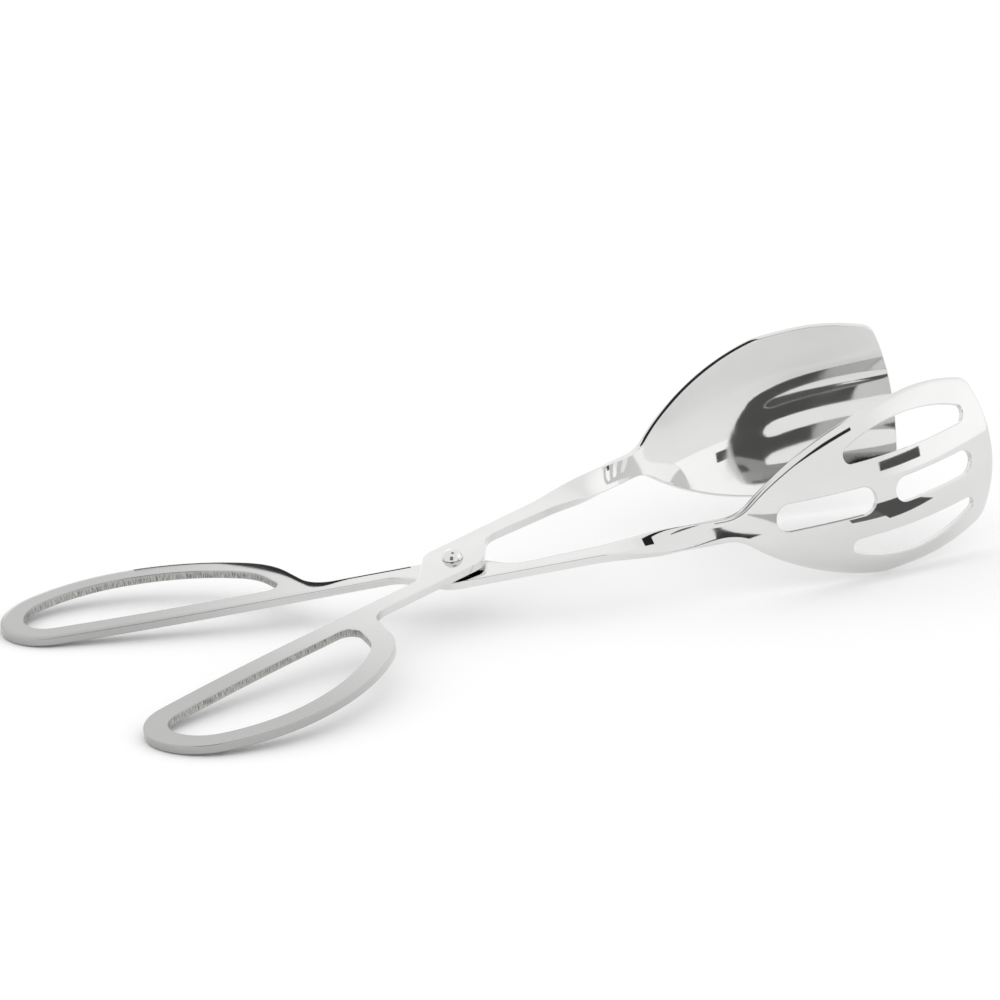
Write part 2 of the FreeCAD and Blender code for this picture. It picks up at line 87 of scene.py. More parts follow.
# finger loop: radius and turn of each stretch of its edge, from the shoulder to the long inner side
LOOP_START = 31.5
NOTCH_RADIUS = 8.0
NOTCH_TURN = 68.0
LOOP_TURNS = [(22.0, 35.0), (64.0, 33.0), (50.0, 30.0), (18.5, 60.0), (14.0, 86.0), (650.0, 4.0)]
LOOP_RIM = 6.3
HOLE_CORNER_RADIUS = 3.6
# twisted neck and cupped blade, by stations along the middle line from the neck
NECK_POSITION = 38.4
NECK_HALF_WIDTH = 3.3
SPREAD_START = -2.0
SPREAD_RADIUS = 10.6
SPREAD_ANGLE = 39.4
SIDE_RADIUS = 88.0
SIDE_SLOPE = 2.0
TWIST_ANGLE = 84.0
TWIST_LENGTH = 36.0
BOW_ANGLE = 38.5
BOW_CENTRE = 48.5
BOW_SOFTNESS = 12.0
CUP_RADIUS = 45.3
CUP_START = -8.0
CUP_END = 16.0
STRIP_END = 90.0
# share of the CAD blade's widening, because its cut edge leans inwards and this one is square to the sheet
RIM_TRIM = 0.992
# blade tip, seen square on; for the same reason it stops a little short of the CAD tip
TIP_REACH = 153.6
TIP_EDGE_RADIUS = 41.0
TIP_EDGE_TURN = 24.6
TIP_CORNER_RADIUS = 6.0
RIM_RADIUS = 53.0
RIM_TURN = 20.0
# drain slots along X from the pivot: start and end, then half width for the straight ones
FIRST_SLOT = (86.9, 115.1, 3.8)
SECOND_SLOT = (121.2, 145.8, 3.4)
SIDE_SLOT = (107.6, 145.4)
SIDE_SLOT_INNER = 10.3
SIDE_SLOT_OUTER = 18.4
SIDE_SLOT_END_RADIUS = 2.2
# pivot, and half the angle between the levers at rest
LEVER_GAP = 0.7
PLAY = 0.05
WASHER_RADIUS = 4.0
SHANK_RADIUS = 1.8
HEAD_RADIUS = 2.8
HEAD_HEIGHT = 2.5
HALF_OPENING = 16.3
# mesh spacing: along the middle line, straight edges, arcs in degrees and over the bent faces
LINE_STEP = 0.25
STRAIGHT_STEP = 1.6
TURN_STEP = 6.0
FACE_STEP = 0.9
EDGE_CLEARANCE = 0.6 * FACE_STEP
TIP_CLEARANCE = 0.5
MERGE_DISTANCE = 1e-7
ROUNDING_STEPS = 7
DOME_STEPS = 24
POLE_GAP = 0.01
LATHE_STEPS = 96
SHARP_EDGE = 40.0
# numeric bending: step of the slopes, rounds of unfolding and the least curvature
SLOPE_STEP = 1e-3
UNFOLD_ROUNDS = 12
LEAST_CURVATURE = 1e-6
# metal: colours in linear light, where along the blank the satin fades out, and the heights on a punched wall
# between which its smooth band starts
STEEL_COLOUR = (0.74, 0.74, 0.735)
STEEL_CLOUDED = (0.71, 0.71, 0.7)
SATIN_COLOUR = (0.425, 0.425, 0.42)
PUNCHED_COLOUR = (0.52, 0.515, 0.5)
PUNCHED_DARK = (0.19, 0.185, 0.18)
SATIN_START = -95.0
SATIN_END = -8.0
BURNISHED_LOW = 1.5
BURNISHED_HIGH = 2.0
# studio: directions are azimuth from +X and elevation, in degrees
FLOOR_SIZE = 12.0
FLOOR_GAP = 0.0002
FLOOR_ALBEDO = 0.97
ROOM_BRIGHTNESS = 1.03
# soft glows of the room: direction, angles from it at which the glow is full and gone, and its brightness
SOFT_AREAS = [((-24.0, 14.0), 6.0, 44.0, 0.24), ((60.0, 45.0), 8.0, 36.0, 0.08)]
# cards that are darker or brighter than the room: direction, width and height in degrees, and brightness
CARD_DISTANCE = 1.6
ROOM_CARDS = [("card_behind_camera", (-130.0, 23.0), (36.0, 40.0), 0.17),
              ("card_low_right", (-52.5, 7.2), (20.0, 5.5), 0.1),
              ("card_overhead", (-110.0, 85.0), (22.0, 18.0), 0.02),
              ("card_lit_back", (77.0, 9.0), (16.0, 20.0), 1.6)]
# dark patches painted into the steel's reflections of the table, while the table itself stays plain: two
# opposite edges in millimetres, and brightness
TABLE_CARDS = [("card_table_shade", ((64, -84), (94, -84)), ((46, -190), (96, -190)), 0.55),
               ("card_table_front", ((112, -66), (152, -66)), ((112, -112), (152, -112)), 0.1),
               ("card_table_side", ((92, -72), (112, -72)), ((92, -104), (112, -104)), 0.16),
               ("card_reflected_dark_streak", ((46, -78), (56, -82)), ((-28, -222), (-18, -226)), 0.05)]
# the strips below are dark sheets that only the steel's reflections see, put there to paint dark reflections
# along the levers' edges and rims
# dark strips close to the levers. The shoulder strip: span along X, distance from the edge, height, and where
# the extra height lies, how far it reaches and how high it is
SHOULDER_STRIP = (-82.0, -10.0)
SHOULDER_STRIP_GAP = 1.0
SHOULDER_STRIP_HEIGHT = 1.1
SHOULDER_STRIP_PEAK = (-43.0, 18.0, 1.8)
# the strip before the slotted blade's upper rim: span of stations, insets, and how it stands off
NEAR_RIM_STRIP = (-6.0, 41.0)
NEAR_RIM_INSETS = (0.7, 1.9)
NEAR_RIM_WAY = (-88.0, 20.0)
NEAR_RIM_DISTANCE = 8.0
# the strip beyond the solid blade's upper rim: span of stations, gap from the rim, and depths in the sheet
FAR_RIM_STRIP = (3.0, 76.0)
FAR_RIM_GAP = 1.6
FAR_RIM_DEPTHS = (-0.8, 1.6)
# glow of the strips, which sets how dark the painted reflections are
DARK_REFLECTION_BRIGHTNESS = 0.03
# camera: long lens, with a slight roll
SENSOR_WIDTH = 36.0
LENS = 180.0
CAMERA_PLACE = (-0.5868, -1.1187, 0.4322)
CAMERA_RIGHT = (0.8835, -0.4677, -0.0275)
CAMERA_UP = (0.1656, 0.2568, 0.9522)

ARM_CENTRE = (BLADE_ARM_FAR + BLADE_ARM_NEAR_END) / 2


# ---------------------------------------------------------------- flat blank

def direction(degrees):
    return np.array([math.cos(math.radians(degrees)), math.sin(math.radians(degrees))])


def smooth_step(value, start, end):
    share = np.clip((value - start) / (end - start), 0.0, 1.0)
    return share * share * (3 - 2 * share)


class Edge:
    """Edge drawn by moving forward and turning, kept as closely spaced points; headings are in degrees."""

    def __init__(self, start, heading):
        self.points = [np.array(start, float)]
        self.heading = heading

    def forward(self, length):
        begin = self.points[-1]
        count = max(1, math.ceil(length / STRAIGHT_STEP))
        for index in range(1, count + 1):
            self.points.append(begin + length * index / count * direction(self.heading))

    def turn(self, radius, angle):
        """Arc to the left for a positive angle, to the right for a negative one."""
        side = math.copysign(90.0, angle)
        centre = self.points[-1] + radius * direction(self.heading + side)
        length = radius * math.radians(abs(angle))
        count = max(math.ceil(length / STRAIGHT_STEP), math.ceil(abs(angle) / TURN_STEP))
        for index in range(1, count + 1):
            arm = direction(self.heading + side + angle * index / count)
            self.points.append(centre - radius * arm)
        self.heading += angle

    def place(self):
        return self.points[-1]


def setback(radius, angle):
    """Distance from a corner to where its rounding starts."""
    return radius * math.tan(math.radians(abs(angle)) / 2)


def turn_loop(edge, inset):
    for radius, angle in LOOP_TURNS:
        edge.turn(radius - inset, -angle)


def handle_edge():
    """Outer edge of the handle, boss and arm, clockwise from the arm's near side to its far side."""
    slant = math.radians(BOSS_SLANT)

    def slanted_side(across, sign):
        return sign * BOSS_SIDE + (across + sign * BOSS_SIDE_OFFSET) / math.tan(slant)

    near_corner = slanted_side(BLADE_ARM_NEAR, 1)
    near_run = PLATE_END - near_corner
    near_slope = math.degrees(math.atan2(BLADE_ARM_NEAR - BLADE_ARM_NEAR_END, near_run))
    near_setback = setback(BOSS_FILLET, BOSS_SLANT + near_slope)
    slant_setback = setback(BOSS_FILLET, BOSS_SLANT)
    edge = Edge((PLATE_END, BLADE_ARM_NEAR_END), 180.0 - near_slope)
    edge.forward(near_run / math.cos(math.radians(near_slope)) - near_setback)
    edge.turn(BOSS_FILLET, BOSS_SLANT + near_slope)
    edge.forward((BLADE_ARM_NEAR + HANDLE_ARM_OUTER) / math.sin(slant) - near_setback - slant_setback)
    edge.turn(BOSS_FILLET, -BOSS_SLANT)
    edge.forward(slanted_side(-HANDLE_ARM_OUTER, 1) - slant_setback + LOOP_START)
    edge.turn(NOTCH_RADIUS, NOTCH_TURN)
    trial = Edge((0, 0), edge.heading)
    turn_loop(trial, 0.0)
    climb = -HANDLE_ARM_INNER - (edge.place()[1] + trial.place()[1])
    edge.forward(climb / math.sin(math.radians(edge.heading)))
    shoulder = (edge.place(), edge.heading)
    turn_loop(edge, 0.0)
    edge.forward(slanted_side(-HANDLE_ARM_INNER, -1) - slant_setback - edge.place()[0])
    edge.turn(BOSS_FILLET, BOSS_SLANT)
    edge.forward((HANDLE_ARM_INNER + BLADE_ARM_FAR) / math.sin(slant) - 2 * slant_setback)
    edge.turn(BOSS_FILLET, -BOSS_SLANT)
    edge.forward(PLATE_END - slanted_side(BLADE_ARM_FAR, -1) - slant_setback)
    return edge.points, shoulder


def finger_hole_edge(shoulder):
    """Inner edge of the finger loop: the outer edge moved in by the rim, with a tighter arm corner."""
    place, heading = shoulder
    edge = Edge(place + LOOP_RIM * direction(heading - 90.0), heading)
    turn_loop(edge, LOOP_RIM)
    corner_turn = heading - 360.0
    corner = Edge((0, 0), 0.0)
    corner.turn(HOLE_CORNER_RADIUS, corner_turn)
    edge.heading = 0.0
    remaining = edge.points[0] - edge.place() - corner.place()
    side_run = remaining[1] / math.sin(math.radians(heading))
    edge.forward(remaining[0] - side_run * math.cos(math.radians(heading)))
    edge.turn(HOLE_CORNER_RADIUS, corner_turn)
    edge.forward(side_run)
    return edge.points[:-1]


def half_width(station):
    """Half width of the strip, a hair less than the CAD one at the blade's rim."""
    full = full_half_width(station)
    if station <= SPREAD_START:
        return full
    return NECK_HALF_WIDTH + RIM_TRIM * (full - NECK_HALF_WIDTH)


def full_half_width(station):
    """A slim neck, a hollow spread, a long bulge and a nearly straight end."""
    steep = math.radians(SPREAD_ANGLE)
    shallow = math.radians(SIDE_SLOPE)
    hollow_end = SPREAD_START + SPREAD_RADIUS * math.sin(steep)
    bulge_station = hollow_end + SIDE_RADIUS * math.sin(steep)
    bulge_base = NECK_HALF_WIDTH + SPREAD_RADIUS - (SPREAD_RADIUS + SIDE_RADIUS) * math.cos(steep)
    bulge_end = bulge_station - SIDE_RADIUS * math.sin(shallow)
    if station <= SPREAD_START:
        share = (SPREAD_START - station) / (SPREAD_START + NECK_POSITION)
        return NECK_HALF_WIDTH + share * ((BLADE_ARM_FAR - BLADE_ARM_NEAR_END) / 2 - NECK_HALF_WIDTH)
    if station <= hollow_end:
        hollow = math.sqrt(SPREAD_RADIUS ** 2 - (station - SPREAD_START) ** 2)
        return NECK_HALF_WIDTH + SPREAD_RADIUS - hollow
    if station <= bulge_end:
        return bulge_base + math.sqrt(SIDE_RADIUS ** 2 - (bulge_station - station) ** 2)
    return bulge_base + SIDE_RADIUS * math.cos(shallow) + (station - bulge_end) * math.tan(shallow)


# ---------------------------------------------------------------- bending the blank

def bow_heading(station):
    """Direction of the middle line, which is straight on at the start and turns most at the bow's centre."""
    def turned(where):
        return 1 / (1 + np.exp((BOW_CENTRE - where) / BOW_SOFTNESS))
    return -math.radians(BOW_ANGLE) * (turned(station) - turned(-NECK_POSITION))


LINE_STATIONS = np.arange(-NECK_POSITION, STRIP_END + LINE_STEP, LINE_STEP)
LINE_HEADINGS = bow_heading(LINE_STATIONS[:-1] + LINE_STEP / 2)
LINE_X = PLATE_END + LINE_STEP * np.concatenate([[0.0], np.cumsum(np.cos(LINE_HEADINGS))])
LINE_Y = ARM_CENTRE + LINE_STEP * np.concatenate([[0.0], np.cumsum(np.sin(LINE_HEADINGS))])


def to_station(blank_x):
    return blank_x - PLATE_END - NECK_POSITION


def half_thickness(blank_x):
    thinning = smooth_step(to_station(blank_x), THINNING_START, THINNING_END)
    return (STOCK + (BLADE_STOCK - STOCK) * thinning) / 2


def bend(blank, depth):
    """Places in space of blank points at a depth through the sheet, once it is twisted, bowed and cupped."""
    station = to_station(blank[:, 0])
    along = blank[:, 1] - ARM_CENTRE
    bent = station > -NECK_POSITION
    middle_x = np.where(bent, np.interp(station, LINE_STATIONS, LINE_X), blank[:, 0])
    middle_y = np.interp(station, LINE_STATIONS, LINE_Y)
    middle = np.column_stack([middle_x, middle_y, np.zeros(len(blank))])
    heading = np.where(bent, bow_heading(station), 0.0)
    sideways = np.column_stack([-np.sin(heading), np.cos(heading), np.zeros(len(blank))])
    twist = math.radians(TWIST_ANGLE) * smooth_step(station, -NECK_POSITION, TWIST_LENGTH - NECK_POSITION)
    sine, cosine = np.sin(twist)[:, None], np.cos(twist)[:, None]
    up = np.array([0.0, 0.0, 1.0])
    across = cosine * sideways + sine * up
    outwards = sine * sideways - cosine * up
    curvature = np.maximum(smooth_step(station, CUP_START, CUP_END) / CUP_RADIUS, LEAST_CURVATURE)
    radius = (1 / curvature)[:, None]
    angle = (along * curvature)[:, None]
    arm = (radius + np.reshape(depth, (-1, 1))) * (np.sin(angle) * across + np.cos(angle) * outwards)
    return middle + arm - radius * outwards


def slopes(blank, depth):
    """Vectors along the bent sheet in the blank's two directions, and the unit normal of its side +1."""
    here = bend(blank, depth)
    lengthwise = (bend(blank + [SLOPE_STEP, 0.0], depth) - here) / SLOPE_STEP
    crosswise = (bend(blank + [0.0, SLOPE_STEP], depth) - here) / SLOPE_STEP
    normal = np.cross(crosswise, lengthwise)
    return lengthwise, crosswise, normal / np.linalg.norm(normal, axis=1, keepdims=True)


def unfold(points):
    """Blank points whose bent places have these X and Z."""
    station = np.interp(points[:, 0], LINE_X, LINE_STATIONS)
    blank = np.column_stack([station + PLATE_END + NECK_POSITION, ARM_CENTRE + points[:, 1]])
    for _ in range(UNFOLD_ROUNDS):
        here = bend(blank, 0.0)[:, [0, 2]]
        first = (bend(blank + [SLOPE_STEP, 0.0], 0.0)[:, [0, 2]] - here) / SLOPE_STEP
        second = (bend(blank + [0.0, SLOPE_STEP], 0.0)[:, [0, 2]] - here) / SLOPE_STEP
        jacobian = np.stack([first, second], axis=2)
        blank = blank + np.linalg.solve(jacobian, (points - here)[:, :, None])[:, :, 0]
    return blank


def tip_edge():
    """Blade tip from its upper rim round to its lower rim, as blank points."""
    edge = Edge((TIP_REACH, 0.0), 90.0)
    edge.turn(TIP_EDGE_RADIUS, TIP_EDGE_TURN)
    edge.turn(TIP_CORNER_RADIUS, 90.0 - RIM_TURN - TIP_EDGE_TURN)
    edge.turn(RIM_RADIUS, RIM_TURN)
    edge.forward(edge.place()[0] - PLATE_END - 2 * NECK_POSITION)
    upper = np.array(edge.points)
    lower = upper[1:] * [1.0, -1.0]
    return unfold(upper[::-1]), unfold(lower)


def blade_edge():
    """Edge of the strip from the arm's far side round the tip to its near side."""
    upper_tip, lower_tip = tip_edge()

    def side(tip, sign):
        widths = np.array([half_width(station) for station in to_station(tip[:, 0])])
        kept = tip[np.abs(tip[:, 1] - ARM_CENTRE) < widths]
        stop = kept[:, 0].min() - TIP_CLEARANCE
        stations = np.arange(PLATE_END + STRAIGHT_STEP / 2, stop, STRAIGHT_STEP / 2)
        rim = [(x, ARM_CENTRE + sign * half_width(to_station(x))) for x in stations]
        return kept, np.array(rim)

    upper_kept, upper_rim = side(upper_tip, 1)
    lower_kept, lower_rim = side(lower_tip, -1)
    return np.vstack([upper_rim, upper_kept, lower_kept, lower_rim[::-1]])


def straight_slot(start, end, half_wide):
    edge = Edge((start + half_wide, -half_wide), 0.0)
    for _ in range(2):
        edge.forward(end - start - 2 * half_wide)
        edge.turn(half_wide, 180.0)
    return np.array(edge.points[:-1])


def side_slot():
    """Crescent slot: a straight inner edge, a bulged outer edge and round ends."""
    start, end = SIDE_SLOT
    radius = SIDE_SLOT_END_RADIUS
    half_length = (end - start) / 2 - radius
    rise = SIDE_SLOT_OUTER - SIDE_SLOT_INNER - 2 * radius
    bulge = (half_length ** 2 + rise ** 2) / (2 * rise)
    lean = math.degrees(math.asin(half_length / bulge))
    edge = Edge((start + radius, SIDE_SLOT_INNER), 0.0)
    edge.forward(2 * half_length)
    edge.turn(radius, 180.0 - lean)
    edge.turn(bulge + radius, 2 * lean)
    edge.turn(radius, 180.0 - lean)
    return np.array(edge.points[:-1])


def bore_edge():
    edge = Edge((SHANK_RADIUS + PLAY, 0.0), 90.0)
    edge.turn(SHANK_RADIUS + PLAY, 360.0)
    return np.array(edge.points[:-1])


def blank_loops(slotted):
    """Closed edges of the blank, outer edge first, each with its name and the metal on its right."""
    handle, shoulder = handle_edge()
    loops = [("rolled_outer" if slotted else "outer", np.vstack([handle, blade_edge()])),
             ("finger_hole", np.array(finger_hole_edge(shoulder))),
             ("bore", bore_edge())]
    if slotted:
        loops.append(("slot", unfold(straight_slot(*FIRST_SLOT))))
        loops.append(("slot", unfold(straight_slot(*SECOND_SLOT))))
        loops.append(("slot", unfold(side_slot())))
        loops.append(("slot", unfold(side_slot() * [1.0, -1.0])))
    return [(name, clockwise(points, name.endswith("outer"))) for name, points in loops]


def clockwise(points, wanted):
    following = np.roll(points, -1, axis=0)
    area = np.sum(points[:, 0] * following[:, 1] - points[:, 1] * following[:, 0])
    return points if (area < 0) == wanted else points[::-1]


# ---------------------------------------------------------------- sheet mesh

def edge_roll(name, side):
    """Width and height of the rounding along a named edge, on one side of the sheet."""
    return ROLL if name == "rolled_outer" and side > 0 else (ROUNDING, ROUNDING)


def inward_normals(loop):
    """Unit vectors across a loop's points towards the metal, which lies on its right."""
    forward = np.roll(loop, -1, axis=0) - loop
    forward /= np.linalg.norm(forward, axis=1, keepdims=True)
    tangent = forward + np.roll(forward, 1, axis=0)
    tangent /= np.linalg.norm(tangent, axis=1, keepdims=True)
    return np.column_stack([tangent[:, 1], -tangent[:, 0]])


def is_inside(points, loop):
    """True for the points inside a closed loop, by counting the edges crossed towards +X."""
    following = np.roll(loop, -1, axis=0)
    found = np.zeros(len(points), bool)
    for (x1, y1), (x2, y2) in zip(loop, following):
        if y1 != y2:
            spans = (y1 > points[:, 1]) != (y2 > points[:, 1])
            crossing = x1 + (points[:, 1] - y1) * (x2 - x1) / (y2 - y1)
            found ^= spans & (points[:, 0] < crossing)
    return found


def in_metal(points, loops):
    metal = is_inside(points, loops[0])
    for loop in loops[1:]:
        metal &= ~is_inside(points, loop)
    return metal


def face_grid(loops):
    """Evenly spaced points over the bent part of the blank, clear of its edges."""
    edges = np.vstack(loops)
    columns = np.arange(PLATE_END - 4 * FACE_STEP, edges[:, 0].max(), FACE_STEP)
    rows = np.arange(edges[:, 1].min(), edges[:, 1].max(), FACE_STEP)
    grid = np.array([(x, y) for x in columns for y in rows])
    grid = grid[in_metal(grid, loops)]
    gaps = [np.min(np.hypot(*(edges - point).T)) for point in grid]
    return grid[np.array(gaps) > EDGE_CLEARANCE]


def triangulate(loops):
    """Points and triangles that fill the blank between its loops."""
    points = np.vstack(loops + [face_grid(loops)])
    edges = []
    start = 0
    for loop in loops:
        count = len(loop)
        edges += [(start + index, start + (index + 1) % count) for index in range(count)]
        start += count
    made = delaunay_2d_cdt([Vector(point) for point in points], edges, [], 0, MERGE_DISTANCE)
    flat = np.array([list(point) for point in made[0]])
    triangles = np.array(made[2])
    return flat, triangles[in_metal(flat[triangles].mean(axis=1), loops)]


class SheetMesh:
    """Solid sheet made from a blank: two faces, rounded edges and cut walls, with their true normals."""

    def __init__(self, loops):
        self.places, self.normals, self.blanks, self.faces = [], [], [], []
        self.count = 0
        self.loops = [points + TRIM * inward_normals(points) for _, points in loops]
        insets = [inward_normals(points) for points in self.loops]
        starts = np.concatenate([[0], np.cumsum([len(points) for points in self.loops])])
        walls = {}
        for side in (1, -1):
            rolls = [edge_roll(name, side) for name, _ in loops]
            flat, triangles = triangulate([points + roll[0] * inset for points, inset, roll
                                           in zip(self.loops, insets, rolls)])
            first = self.add_points(flat, side, None, rolls[0], 0.0)
            self.faces.append((first + triangles, "face", None))
            walls[side] = []
            for loop, inset, start, roll in zip(self.loops, insets, starts, rolls):
                ring = first + start + np.arange(len(loop))
                walls[side].append(self.round_edge(ring, loop, inset, roll, side))
        for high, low, (name, loop) in zip(walls[1], walls[-1], loops):
            self.add_strip(low, high, "punched" if name == "finger_hole" else "face", loop)

    def add_points(self, blank, side, inset, roll, level):
        """Points of one layer; level runs from 0 on the face to 1 on the cut wall."""
        width, height = roll
        turned = math.pi / 2 * level
        depth = side * (half_thickness(blank[:, 0]) - TRIM - height * (1 - math.cos(turned)))
        lengthwise, crosswise, normal = slopes(blank, depth)
        normal = side * normal
        if inset is not None:
            outward = -(inset[:, :1] * lengthwise + inset[:, 1:] * crosswise)
            outward /= np.linalg.norm(outward, axis=1, keepdims=True)
            normal = width * math.cos(turned) * normal + height * math.sin(turned) * outward
        self.places.append(bend(blank, depth))
        self.normals.append(normal)
        self.blanks.append(blank)
        self.count += len(blank)
        return self.count - len(blank)

    def add_strip(self, low, high, kind, loop):
        """Quads between two rings; a punched wall is charted by the length round it and its height."""
        following = np.roll(np.arange(len(low)), -1)
        quads = np.column_stack([low, low[following], high[following], high])
        chart = None
        if kind == "punched":
            steps = np.linalg.norm(loop[following] - loop, axis=1)
            ends = np.cumsum(steps)
            begins = ends - steps
            bottom, top = np.zeros(len(low)), np.full(len(low), STOCK)
            corners = [(begins, bottom), (ends, bottom), (ends, top), (begins, top)]
            chart = np.stack([np.column_stack(corner) for corner in corners], axis=1)
        self.faces.append((quads, kind, chart))

    def round_edge(self, ring, loop, inset, roll, side):
        """Strips from a face's rim down to the cut wall; gives back the last ring."""
        for step in range(1, ROUNDING_STEPS + 1):
            level = step / ROUNDING_STEPS
            blank = loop + roll[0] * (1 - math.sin(math.pi / 2 * level)) * inset
            next_ring = self.add_points(blank, side, inset, roll, level) + np.arange(len(loop))
            self.add_strip(ring, next_ring, "face", loop)
            ring = next_ring
        return ring

    def build(self, name, place, materials):
        """Mesh in the tongs' frame, in metres, charted by the blank in millimetres."""
        turn = np.array(place.to_3x3())
        places = np.vstack(self.places) * MM @ turn.T + np.array(place.translation)
        normals = np.vstack(self.normals) @ turn.T
        normals /= np.linalg.norm(normals, axis=1, keepdims=True)
        blanks = np.vstack(self.blanks)
        polygons, kinds, charts = [], [], []
        for corners, kind, chart in self.faces:
            chart = blanks[corners] if chart is None else chart
            first, second, third = (places[corners[:, index]] for index in range(3))
            facing = np.cross(second - first, third - first)
            flipped = np.sum(facing * normals[corners].sum(axis=1), axis=1) < 0
            corners = np.where(flipped[:, None], corners[:, ::-1], corners)
            chart = np.where(flipped[:, None, None], chart[:, ::-1], chart)
            polygons += corners.tolist()
            kinds += [list(materials).index(kind)] * len(corners)
            charts.append(chart.reshape(-1, 2))
        mesh = bpy.data.meshes.new(name)
        mesh.from_pydata(places.tolist(), [], polygons)
        for material in materials.values():
            mesh.materials.append(material)
        mesh.polygons.foreach_set("material_index", kinds)
        mesh.uv_layers.new(name="sheet").data.foreach_set("uv", np.vstack(charts).ravel())
        mesh.shade_smooth()
        mesh.normals_split_custom_set_from_vertices(normals.tolist())
        return link(name, mesh)


def link(name, mesh):
    piece = bpy.data.objects.new(name, mesh)
    bpy.context.scene.collection.objects.link(piece)
    return piece


# ---------------------------------------------------------------- placing

def hinge_frame():
    """Matrix from the pivot's own frame, with Z along the rivet, to the tongs' frame."""
    joint = frame["joints"][0]
    axis = Vector(joint["axis"]).normalized()
    tilt = math.asin(axis.x)
    roll = math.asin(-axis.y / math.cos(tilt))
    lean = Matrix.Rotation(roll, 4, "X") @ Matrix.Rotation(tilt, 4, "Y")
    return Matrix.Translation(Vector(joint["pos_m"])) @ lean


def lever_place(upper):
    lift = (LEVER_GAP + STOCK) / 2 * MM
    if upper:
        return Matrix.Translation((0, 0, lift)) @ Matrix.Rotation(math.radians(HALF_OPENING), 4, "Z")
    turned = Matrix.Rotation(-math.radians(HALF_OPENING), 4, "Z") @ Matrix.Rotation(math.pi, 4, "X")
    return Matrix.Translation((0, 0, -lift)) @ turned


def settle(piece, body, node):
    """Say which body a piece moves with, and hide the CAD node that it stands for."""
    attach(piece, body)
    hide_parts(node)


# ---------------------------------------------------------------- turned pieces

def lathe(name, profile, material):
    """Closed profile of radius and height, in millimetres, turned about the hinge."""
    places, faces = [], []
    count = len(profile)
    for index in range(LATHE_STEPS):
        angle = 2 * math.pi * index / LATHE_STEPS
        for radius, height in profile:
            places.append((radius * math.cos(angle) * MM, radius * math.sin(angle) * MM, height * MM))
    for index in range(LATHE_STEPS):
        here, there = index * count, (index + 1) % LATHE_STEPS * count
        for low in range(count):
            high = (low + 1) % count
            faces.append((here + low, there + low, there + high, here + high))
    mesh = bpy.data.meshes.new(name)
    mesh.from_pydata(places, [], faces)
    mesh.transform(hinge_frame())
    mesh.materials.append(material)
    mesh.shade_smooth()
    mesh.set_sharp_from_angle(angle=math.radians(SHARP_EDGE))
    return link(name, mesh)


def rivet_profile():
    """Domed head, shank and lower head; the domes start just off the axis, so no point is doubled."""
    shoulder = LEVER_GAP / 2 + STOCK + PLAY
    dome = (HEAD_RADIUS ** 2 + HEAD_HEIGHT ** 2) / (2 * HEAD_HEIGHT)
    centre = shoulder + HEAD_HEIGHT - dome
    edge_angle = math.atan2(shoulder - centre, HEAD_RADIUS)
    upper = []
    for step in range(DOME_STEPS + 1):
        angle = edge_angle + (math.pi / 2 - POLE_GAP - edge_angle) * step / DOME_STEPS
        upper.append((dome * math.cos(angle), centre + dome * math.sin(angle)))
    lower = [(radius, -height) for radius, height in reversed(upper)]
    return lower + [(SHANK_RADIUS, -shoulder), (SHANK_RADIUS, shoulder)] + upper


def washer_profile():
    low = -LEVER_GAP / 2
    high = low + LEVER_GAP - PLAY
    inner = SHANK_RADIUS + PLAY
    return [(inner, low), (WASHER_RADIUS, low), (WASHER_RADIUS, high), (inner, high)]


# ---------------------------------------------------------------- materials

